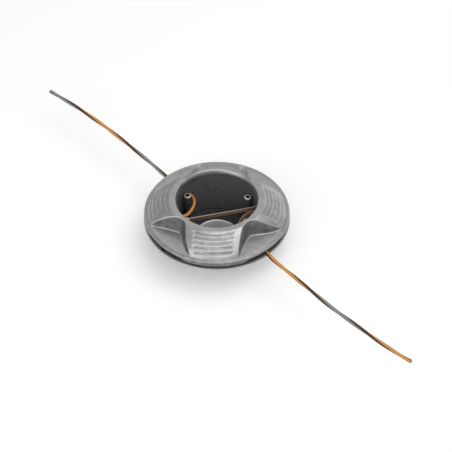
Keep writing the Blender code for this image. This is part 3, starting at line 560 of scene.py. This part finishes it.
def core_grid():
    """Outline of the core at every angle; in a slot's window the wall moves out, and in a hole of
    the band, which is an ellipse of angle and height, the band moves in."""
    wall_z = np.array([43.6, 41.0, 37.0, 33.0, 30.84, 30.78, 30.0, 28.5, 27.62, 27.56, 24.0,
                       18.0, 11.0, 6.0, 4.3])
    wall = [(33.9 - (43.8 - z) / 39.5, z) for z in wall_z]
    band_z = np.concatenate([[27.4], np.linspace(27.45, 30.75, 23), [31.1, 31.75]])
    band = list(zip(np.where(band_z < WIDE_BAND_TOP, WIDE_BAND_R, BAND_R), band_z))
    back = [(58.0, 31.9), (35.0, 31.9), (35.0, 43.7), (34.9, 43.8)]
    outline = ([(34.1, 43.8)] + wall + arc(32.1, 4.3, 0.8, -15, -90, 6)
               + [(14.0, 3.5), (8.8, 3.5), (8.8, 2.3), (32.3, 2.3), (33.4, 2.7), (34.0, 4.3),
                  (35.0, 26.0), (35.0, 27.3), (36.0, 27.3), (36.0, 30.8), (56.2, 30.8),
                  (56.2, 27.3), (60.0, 27.3)] + band + back)
    theta = core_angles()
    r, z = (np.repeat(np.array(values)[:, None], len(theta), axis=1) for values in zip(*outline))
    at_slot = [k for k, height in enumerate(wall_z, start=1) if SLOT_LOW < height < SLOT_HIGH]
    r[at_slot] += (np.where(WELL_R * apart(theta, EXITS) < EXIT_HALF, EXIT_DEPTH, 0.0)
                   + np.where(WELL_R * apart(theta, LOOPS) < LOOP_HALF, LOOP_DEPTH, 0.0))
    at_band = slice(len(outline) - len(back) - len(band), len(outline) - len(back))
    hole = ((BAND_R * apart(theta, EXITS) / HOLE_HALF_WIDTH) ** 2
            + ((z[at_band] - HOLE_MIDDLE) / HOLE_HALF_HEIGHT) ** 2)
    r[at_band] -= np.where(hole < 1.0, HOLE_DEPTH, 0.0)
    return np.stack([r * np.cos(theta), r * np.sin(theta), z], axis=-1) * MM


core_points = core_grid()
print("core grid:", core_points.shape[:2])

# %% [markdown]
# The core's bosses stand where the cover screws pass. Its tones are painted light and shade: full on
# the well's wall, a third on the well's floor, where less light falls, and none outside the well.
# This paints the band under the skirt, the slot recesses and the bosses nearly black as painted
# shade.

# %% Core piece
COVER_SCREW_CIRCLE, COVER_SCREW_DEGREES = 42.0, (10, 100, 190, 280)
BOSS_OUTLINE = [(3.2, 27.3), (3.2, 31.5)]
WELL_OUTSIDE, WELL_FLOOR, FLOOR_TONE = 36.5, 4.4, 0.35

bosses = [turned_part(BOSS_OUTLINE, on_circle(COVER_SCREW_CIRCLE, at), columns=32)
          for at in COVER_SCREW_DEGREES]
core_height = core_points[..., 2] / MM
core_out = np.hypot(core_points[..., 0], core_points[..., 1]) / MM
# Painted shade: darker on the well's floor, and nearly black outside the well, on the band, in the
# slot recesses and on the bosses.
well_tone = np.where(core_height < WELL_FLOOR, FLOOR_TONE, 1.0)
core_painted_shade = np.where(core_out > WELL_OUTSIDE, 0.0, well_tone)
boss_painted_shade = np.zeros(sum(len(boss["places"]) for boss in bosses))
make_piece("moulded_core", "core_body", [ring_part(core_points), *bosses],
           sharp=35.0, tone=np.concatenate([core_painted_shade.ravel(), boss_painted_shade]))

# %% [markdown]
# ## The base
#
# The base is a cast plate: the thin light ring that shows below the band, a cup round the
# well and eight gussets under the ring. The gussets are five-sided prisms, drawn out sideways from
# one outline. The plate itself is turned. A Boolean union of the two would add nothing that shows.

# %% Base
GUSSET_OUTLINE = np.array([(36.25, 26.2), (52.0, 26.2), (52.0, 24.8), (37.6, 14.6), (36.25, 14.6)])
GUSSET_HALF, GUSSETS = 1.1, 22.5 + 45.0 * np.arange(8)


def gusset_part(degrees):
    """Outline in radius and height, set off half the thickness to each side of its direction."""
    out = np.array([math.cos(math.radians(degrees)), math.sin(math.radians(degrees)), 0.0])
    side = GUSSET_HALF * np.array([-out[1], out[0], 0.0])
    flat = GUSSET_OUTLINE[:, :1] * out + GUSSET_OUTLINE[:, 1:] * np.array([0.0, 0.0, 1.0])
    return ring_part(np.stack([flat - side, flat + side]) * MM, close_rows=False)


BASE_OUTLINE = ([(8.8, 0.0), (33.2, 0.0)] + arc(33.4, 2.8, 2.8, -80, -5, 7)
                + [(37.15, 25.1), (37.5, 25.5)]
                + arc(60.7, 25.8, 0.3, -90, 0, 4) + arc(60.7, 26.7, 0.3, 0, 90, 4)
                + [(35.3, 27.0), (35.3, 26.0), (34.3, 4.3), (34.02, 2.24), (33.5, 2.0), (8.8, 2.0)])
plate = turned_part(BASE_OUTLINE, columns=240, closed=True)
make_piece("cast_base", "base_plate",
           [plate, *[gusset_part(degrees) for degrees in GUSSETS]], sharp=30.0)

# %% [markdown]
# ## Hub, sleeves and screws
#
# These are plain turned parts with rounded edges, because a quite sharp edge catches no light. The
# hub has a small bead round its flange. A screw's socket is the same outline gone six-sided on its
# way down, and the cover screws are the same screws turned over. Ready-made bolts would do from
# afar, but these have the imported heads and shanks.

# %% Hub
HUB_COLUMNS, BEAD_START, BEAD_FOOT = 144, 17.45, 4.0
HUB_OUTLINE = ([(5.1, 4.6), (5.1, 0.4), (5.4, 0.0), (8.1, 0.0), (8.5, 0.4), (8.5, 3.8), (18.8, 3.8),
                (19.0, 4.0)] + arc(18.2, 4.85, 0.8, 0, 180, 9)
               + [(17.3, 4.9), (17.2, 4.9), (11.2, 4.9), (10.9, 5.0), (7.6, 5.0), (5.6, 5.0),
                  (5.25, 4.9)])
on_bead = [1.0 if r > BEAD_START and z > BEAD_FOOT else 0.0 for r, z in HUB_OUTLINE]
make_piece("turned_hub", "spindle_hub",
           [turned_part(HUB_OUTLINE, columns=HUB_COLUMNS, closed=True)], sharp=40.0,
           tone=np.repeat(on_bead, HUB_COLUMNS))


# %% Sleeves and screws
HEAD_ROUNDING = 0.45


def screw_rows(shank, foot, head, low, high, socket, depth):
    """Outline of a screw: shank, underside, rounded rim, domed top and a six-sided socket."""
    crown = arc(head - HEAD_ROUNDING, high - HEAD_ROUNDING, HEAD_ROUNDING, 0, 75, 5)
    return ([(shank, foot), (shank, low), (head - 0.1, low), (head, low + 0.1)] + crown
            + [(socket + 0.25, high), (socket + 0.1, high), (socket, high - 0.08, 1.0),
               (socket, high - depth, 1.0)])


def add_screw(name, node, rows, place):
    """A screw, with a low tone on the six-sided rows of its socket, as painted shade in the recess.
    """
    tone = np.repeat([1.0 - row[2] if len(row) > 2 else 1.0 for row in rows], TURNED_COLUMNS)
    make_piece(name, node, [turned_part(rows, place)], sharp=40.0, tone=tone)


POST_CIRCLE, HUB_SCREW_CIRCLE, COVER_SCREW_SPAN = 29.1, 14.0, 61.6
SLEEVE_OUTLINE = [(1.5, 3.9), (1.6, 3.8), (2.95, 3.8), (3.1, 3.95), (3.1, 35.3), (2.9, 35.5),
                  (1.6, 35.5), (1.5, 35.4)]
CLAMP_ROWS = screw_rows(1.2, 0.9, 3.1, 35.8, 37.0, 1.75, 1.0)
FLANGE_ROWS = screw_rows(1.4, 0.9, 2.7, 5.3, 6.6, 1.35, 0.9)
BODY_ROWS = [(row[0], COVER_SCREW_SPAN - row[1], *row[2:])
             for row in screw_rows(1.6, 23.4, 3.1, 36.4, 38.2, 1.55, 1.1)]

for number, degrees in enumerate((30, 150, 210, 330), start=1):
    place = on_circle(POST_CIRCLE, degrees)
    make_piece(f"sleeve_{number}", f"post_sleeve_{number}",
               [turned_part(SLEEVE_OUTLINE, place, closed=True)], sharp=50.0)
    add_screw(f"clamp_screw_{number}", f"post_screw_{number}", CLAMP_ROWS, place)
for number, degrees in enumerate((30, 150, 270), start=1):
    add_screw(f"flange_screw_{number}", f"hub_screw_{number}", FLANGE_ROWS,
              on_circle(HUB_SCREW_CIRCLE, degrees))
for number, degrees in enumerate(COVER_SCREW_DEGREES, start=1):
    add_screw(f"body_screw_{number}", f"cover_screw_{number}", BODY_ROWS,
              on_circle(COVER_SCREW_CIRCLE, degrees))

# %% [markdown]
# ## Finishes
#
# A real finish varies: cast metal is mottled and grainy and shines where hands rub it, while moulded
# nylon and turned steel are quieter. A single grey would look like plastic. Noise in object space
# varies the colour and the roughness, and a very fine one makes the grain as a bump. Painted maps
# would allow more, but they need an image.

# %% Material helpers
NOISE_LOW, NOISE_HIGH = 0.3, 0.7


def new_finish(name, metallic, roughness, colour=(0.5, 0.5, 0.5)):
    """Node material, with its plain numbers on the shader. Gives material, tree and shader."""
    material = bpy.data.materials.new(name)
    material.use_nodes = True
    shader = material.node_tree.nodes["Principled BSDF"]
    shader.inputs["Metallic"].default_value = metallic
    shader.inputs["Roughness"].default_value = roughness
    shader.inputs["Base Color"].default_value = (*colour, 1.0)
    return material, material.node_tree, shader


def noise(tree, scale, detail=4.0, rough=0.6):
    """Noise in object space, with its value mostly between 0.3 and 0.7."""
    made = tree.nodes.new("ShaderNodeTexNoise")
    made.inputs["Scale"].default_value = scale
    made.inputs["Detail"].default_value = detail
    made.inputs["Roughness"].default_value = rough
    place = tree.nodes.new("ShaderNodeTexCoord").outputs["Object"]
    tree.links.new(place, made.inputs["Vector"])
    return made.outputs["Fac"]


def piece_tone(tree):
    """The tone that a piece's points carry."""
    made = tree.nodes.new("ShaderNodeAttribute")
    made.attribute_name = "tone"
    return made.outputs["Fac"]


def remap(tree, value, low, high, to_low, to_high):
    """Straight-line change of range, held at both ends."""
    made = tree.nodes.new("ShaderNodeMapRange")
    made.inputs["From Min"].default_value = low
    made.inputs["From Max"].default_value = high
    made.inputs["To Min"].default_value = to_low
    made.inputs["To Max"].default_value = to_high
    tree.links.new(value, made.inputs["Value"])
    return made.outputs["Result"]


def varied(tree, value, to_low, to_high):
    """A noise's usual span, stretched over another one."""
    return remap(tree, value, NOISE_LOW, NOISE_HIGH, to_low, to_high)


def add(tree, a, b):
    """Sum of two values."""
    made = tree.nodes.new("ShaderNodeMath")
    tree.links.new(a, made.inputs[0])
    tree.links.new(b, made.inputs[1])
    return made.outputs[0]


def ramp(tree, value, stops):
    """Colour by value, straight between stops of (value, colour)."""
    made = tree.nodes.new("ShaderNodeValToRGB")
    while len(made.color_ramp.elements) < len(stops):
        made.color_ramp.elements.new(0.5)
    for element, (at, colour) in zip(made.color_ramp.elements, stops):
        element.position, element.color = at, (*colour, 1.0)
    tree.links.new(value, made.inputs["Fac"])
    return made.outputs["Color"]


def bump(tree, shader, height, strength, distance):
    """Bump from a height, on a shader."""
    made = tree.nodes.new("ShaderNodeBump")
    made.inputs["Strength"].default_value = strength
    made.inputs["Distance"].default_value = distance
    tree.links.new(height, made.inputs["Height"])
    tree.links.new(made.outputs["Normal"], shader.inputs["Normal"])


finishes = {}
print("noise is read from", NOISE_LOW, "to", NOISE_HIGH)

# %% [markdown]
# ## Cast aluminium
#
# The cover's tone is read here. The low end is the dark grey of its painted shade, on the pocket
# walls, in the grooves, at the rim and below the skirt. The high end is the pale polish of the edges,
# with the painted highlight of the lip between. A mottle shifts it a little everywhere, so that no
# two lobes are the same.

# %% Cast aluminium
CAST_STOPS = [(0.0, (0.11, 0.11, 0.11)), (0.5, (0.4, 0.4, 0.395)), (0.75, (0.5, 0.5, 0.495)),
              (1.0, (0.7, 0.7, 0.69))]


def cast_cover_finish():
    """Tone plus mottle gives the colour, and tone the share of bare metal; a coarse noise gives the
    roughness; a fine one the grain."""
    material, tree, shader = new_finish("cast_cover_finish", 0.88, 0.36)
    tone = piece_tone(tree)
    mottle = varied(tree, noise(tree, 170, 5), -0.12, 0.12)
    flecks = varied(tree, noise(tree, 800, 2, 0.7), -0.06, 0.06)
    colour = ramp(tree, add(tree, add(tree, tone, mottle), flecks), CAST_STOPS)
    tree.links.new(colour, shader.inputs["Base Color"])
    tree.links.new(varied(tree, noise(tree, 90, 3), 0.29, 0.41), shader.inputs["Roughness"])
    tree.links.new(remap(tree, tone, 0.05, 0.5, 0.45, 0.9), shader.inputs["Metallic"])
    bump(tree, shader, noise(tree, 1400, 3, 0.7), 0.22, 0.2 * MM)
    return material


finishes["cast_cover"] = cast_cover_finish()
print("finishes:", list(finishes))

# %% [markdown]
# ## The filament's colours
#
# The line was drawn from four strands: orange, brown, grey and brown. They follow the section, so the
# UV round it picks the colour, and the twist does the rest. Noise could not keep the colours on their
# faces. On the free ends the orange reaches a little past its corners. On the length inside the head,
# pale lines along the corners of its grey face are a painted highlight, and dark lines beside the
# orange are painted shade.

# %% Filament
ORANGE, BROWN, GREY = (0.60, 0.26, 0.055), (0.040, 0.024, 0.011), (0.235, 0.235, 0.23)
RUBBED_BROWN, PAINTED_CORNER_HIGHLIGHT, PAINTED_ORANGE_EDGE_SHADE = (0.075, 0.038, 0.027), (0.72, 0.55, 0.48), (0.24, 0.085, 0.03)
CORNERS = (0.125, 0.375, 0.625, 0.875)
SPILL, BLEND, CORNER_LINE_HALF, ORANGE_EDGE_SHADE_BLEND = 0.03, 0.03, 0.018, 0.06


def free_stops():
    """Colour stops round the section of a free end: each face's colour up to a blend at its corner,
    with the two corners beside the orange set off by the spill."""
    faces = [ORANGE, BROWN, GREY, BROWN, ORANGE]
    stops = [(0.0, ORANGE)]
    for corner, spill, before, after in zip(CORNERS, (SPILL, 0.0, 0.0, -SPILL), faces, faces[1:]):
        stops += [(corner + spill - BLEND, before), (corner + spill + BLEND, after)]
    return stops


def inner_stops_with_painted_light():
    """Colour stops round the section of the inner length: a face's colour up to near its corner, then
    the corner's own line, then the next face's colour. The lines by the grey face are a painted
    highlight, and those beside the orange painted shade."""
    faces = [ORANGE, RUBBED_BROWN, GREY, RUBBED_BROWN, ORANGE]
    # Painted shade beside the orange, painted highlight along the grey face's corners.
    lines = [(PAINTED_ORANGE_EDGE_SHADE, ORANGE_EDGE_SHADE_BLEND), (PAINTED_CORNER_HIGHLIGHT, BLEND), (PAINTED_CORNER_HIGHLIGHT, BLEND), (PAINTED_ORANGE_EDGE_SHADE, ORANGE_EDGE_SHADE_BLEND)]
    stops = [(0.0, ORANGE)]
    for corner, (line, blend), before, after in zip(CORNERS, lines, faces, faces[1:]):
        stops += [(corner - blend, before), (corner - CORNER_LINE_HALF, line),
                  (corner + CORNER_LINE_HALF, line), (corner + blend, after)]
    return stops


def filament_finish(name, stops):
    """Colour by the share of the way round the section, a slightly uneven gloss and a fine grain."""
    material, tree, shader = new_finish(name, 0.0, 0.5)
    shader.inputs["Specular IOR Level"].default_value = 0.35
    split = tree.nodes.new("ShaderNodeSeparateXYZ")
    tree.links.new(tree.nodes.new("ShaderNodeTexCoord").outputs["UV"], split.inputs[0])
    tree.links.new(ramp(tree, split.outputs["X"], stops), shader.inputs["Base Color"])
    tree.links.new(varied(tree, noise(tree, 500, 3), 0.42, 0.56), shader.inputs["Roughness"])
    bump(tree, shader, noise(tree, 900, 3, 0.6), 0.15, 0.1 * MM)
    return material


free_line = filament_finish("filament_finish", free_stops())
finishes["line_left"] = finishes["line_right"] = free_line
finishes["line_inside"] = filament_finish("rubbed_filament_finish", inner_stops_with_painted_light())
print("colour stops:", len(free_stops()), len(inner_stops_with_painted_light()))

# %% [markdown]
# ## The other finishes
#
# The rest are even: a colour that wanders between two near ones. Where a piece has tones, the low end
# has a colour of its own, which is painted shade: it makes the outside of the core black, shades the
# flat of the hub and darkens the screws' sockets. Separate materials for such places would need the
# faces sorted, and would end in hard borders.

# %% Even finishes
TONE_LOW, TONE_HIGH, WANDER, WANDER_FROM = 0.12, 0.88, 0.12, 0.3522


def even_finish(name, metallic, roughness, dark, light, mottle, grain, strength, painted_shade_colour=None):
    """Colour from a noise of scale mottle. With a painted shade colour, the value is the tone between
    0.12 and 0.88 plus a wander of 0.12 either way, and the painted shade colour holds up to 0.2. The
    grain is a noise of its own scale, as a bump of a given strength."""
    material, tree, shader = new_finish(name, metallic, roughness)
    wander = noise(tree, mottle, 4)
    if painted_shade_colour is None:
        value, stops = varied(tree, wander, 0.0, 1.0), [(0.0, dark), (1.0, light)]
    else:
        value = add(tree, remap(tree, wander, WANDER_FROM, NOISE_HIGH, -WANDER, WANDER),
                    remap(tree, piece_tone(tree), 0.0, 1.0, TONE_LOW, TONE_HIGH))
        stops = [(0.0, painted_shade_colour), (0.2, painted_shade_colour), (0.76, dark), (1.0, light)]
    gloss = varied(tree, noise(tree, mottle * 0.6, 3), roughness - 0.05, roughness + 0.05)
    tree.links.new(ramp(tree, value, stops), shader.inputs["Base Color"])
    tree.links.new(gloss, shader.inputs["Roughness"])
    bump(tree, shader, noise(tree, grain, 3, 0.7), strength, 0.1 * MM)
    return material


# Each low colour below is painted shade: on the core's outside, on the hub's flat and in the screws'
# sockets.
finishes["moulded_core"] = even_finish(
    "black_nylon_finish", 0.0, 0.55, (0.085, 0.085, 0.087), (0.12, 0.12, 0.122),
    mottle=260, grain=900, strength=0.3, painted_shade_colour=(0.022, 0.022, 0.023))
finishes["cast_base"] = even_finish(
    "base_finish", 0.7, 0.42, (0.42, 0.42, 0.415), (0.52, 0.52, 0.51),
    mottle=150, grain=1200, strength=0.2)
finishes["turned_hub"] = even_finish(
    "turned_steel_finish", 0.6, 0.42, (0.85, 0.85, 0.85), (0.95, 0.95, 0.95),
    mottle=120, grain=900, strength=0.1, painted_shade_colour=(0.58, 0.58, 0.58))
finishes["sleeve"] = even_finish(
    "dark_sleeve_finish", 0.3, 0.35, (0.045, 0.045, 0.05), (0.06, 0.06, 0.065),
    mottle=200, grain=1100, strength=0.12)
finishes["screw"] = even_finish(
    "bright_screw_finish", 0.85, 0.32, (0.5, 0.5, 0.49), (0.68, 0.68, 0.66),
    mottle=500, grain=1500, strength=0.1, painted_shade_colour=(0.012, 0.012, 0.012))
for piece in pieces:
    piece.data.materials.append(next(finishes[word] for word in finishes if word in piece.name))
print("finished pieces:", len(pieces))

# %% [markdown]
# ## Floor and light
#
# The head lies on a seamless white sweep with a soft shadow close under it. A large plane does for
# the sweep, and a bright even world makes that shadow, because the head hides part of the sky from
# the floor near it. Broad lamps then shape the metal: the strong ones stand overhead, in front and
# low on the left, and weaker ones fill in from the right and from behind. A spotlight would throw a
# hard edge that the photograph doesn't have.

# %% Floor, world and lamps
FLOOR_REACH, FLOOR_LIFT, SKY = 6.0, 0.13, 0.48
LAMP_DISTANCE, LAMP_SIZE, AIM_HEIGHT = 1.6, 1.1, 0.03


def add_floor():
    """Pale sweep under the head. The eye, and a ray that metal or glass sends on, also see a little
    light of its own, so that the paper reads as white while its shadow stays."""
    material, tree, shader = new_finish("white_sweep", 0.0, 0.9, (0.93, 0.93, 0.93))
    shader.inputs["Specular IOR Level"].default_value = 0.1
    shader.inputs["Emission Color"].default_value = (1, 1, 1, 1)
    rays = tree.nodes.new("ShaderNodeLightPath").outputs
    seen = add(tree, rays["Is Camera Ray"],
               add(tree, rays["Is Glossy Ray"], rays["Is Transmission Ray"]))
    lift = remap(tree, seen, 0.0, 1.0, 0.0, FLOOR_LIFT)
    tree.links.new(lift, shader.inputs["Emission Strength"])
    mesh = bpy.data.meshes.new("sweep")
    corners = [(-1, -1), (1, -1), (1, 1), (-1, 1)]
    mesh.from_pydata([(FLOOR_REACH * x, FLOOR_REACH * y, 0) for x, y in corners], [],
                     [(0, 1, 2, 3)])
    mesh.materials.append(material)
    floor = bpy.data.objects.new("sweep", mesh)
    scene.collection.objects.link(floor)


def add_world():
    """Even white sky."""
    scene.world = bpy.data.worlds.new("studio")
    scene.world.use_nodes = True
    background = scene.world.node_tree.nodes["Background"]
    background.inputs["Color"].default_value = (1, 1, 1, 1)
    background.inputs["Strength"].default_value = SKY


def add_lamp(name, heading, power):
    """Square soft lamp along a heading from the head, turned to face it."""
    place = np.array(heading) / np.linalg.norm(heading) * LAMP_DISTANCE
    data = bpy.data.lights.new(name, "AREA")
    data.size, data.energy = LAMP_SIZE, power
    lamp = bpy.data.objects.new(name, data)
    lamp.location = place + np.array([0.0, 0.0, AIM_HEIGHT])
    lamp.rotation_euler = (math.atan2(math.hypot(place[0], place[1]), place[2]), 0.0,
                           math.atan2(place[0], -place[1]))
    scene.collection.objects.link(lamp)


add_floor()
add_world()
add_lamp("overhead", (0.3, 0.1, 0.95), 5.4)
add_lamp("front", (0.05, -0.6, 0.8), 5.8)
add_lamp("right", (0.5, -0.25, 0.8), 2.0)
add_lamp("left_low", (-0.6, -0.7, 0.35), 5.0)
add_lamp("right_back", (0.6, 0.75, 0.3), 2.4)
add_lamp("back", (-0.15, 0.55, 0.85), 1.2)
scene.view_settings.view_transform = "Standard"
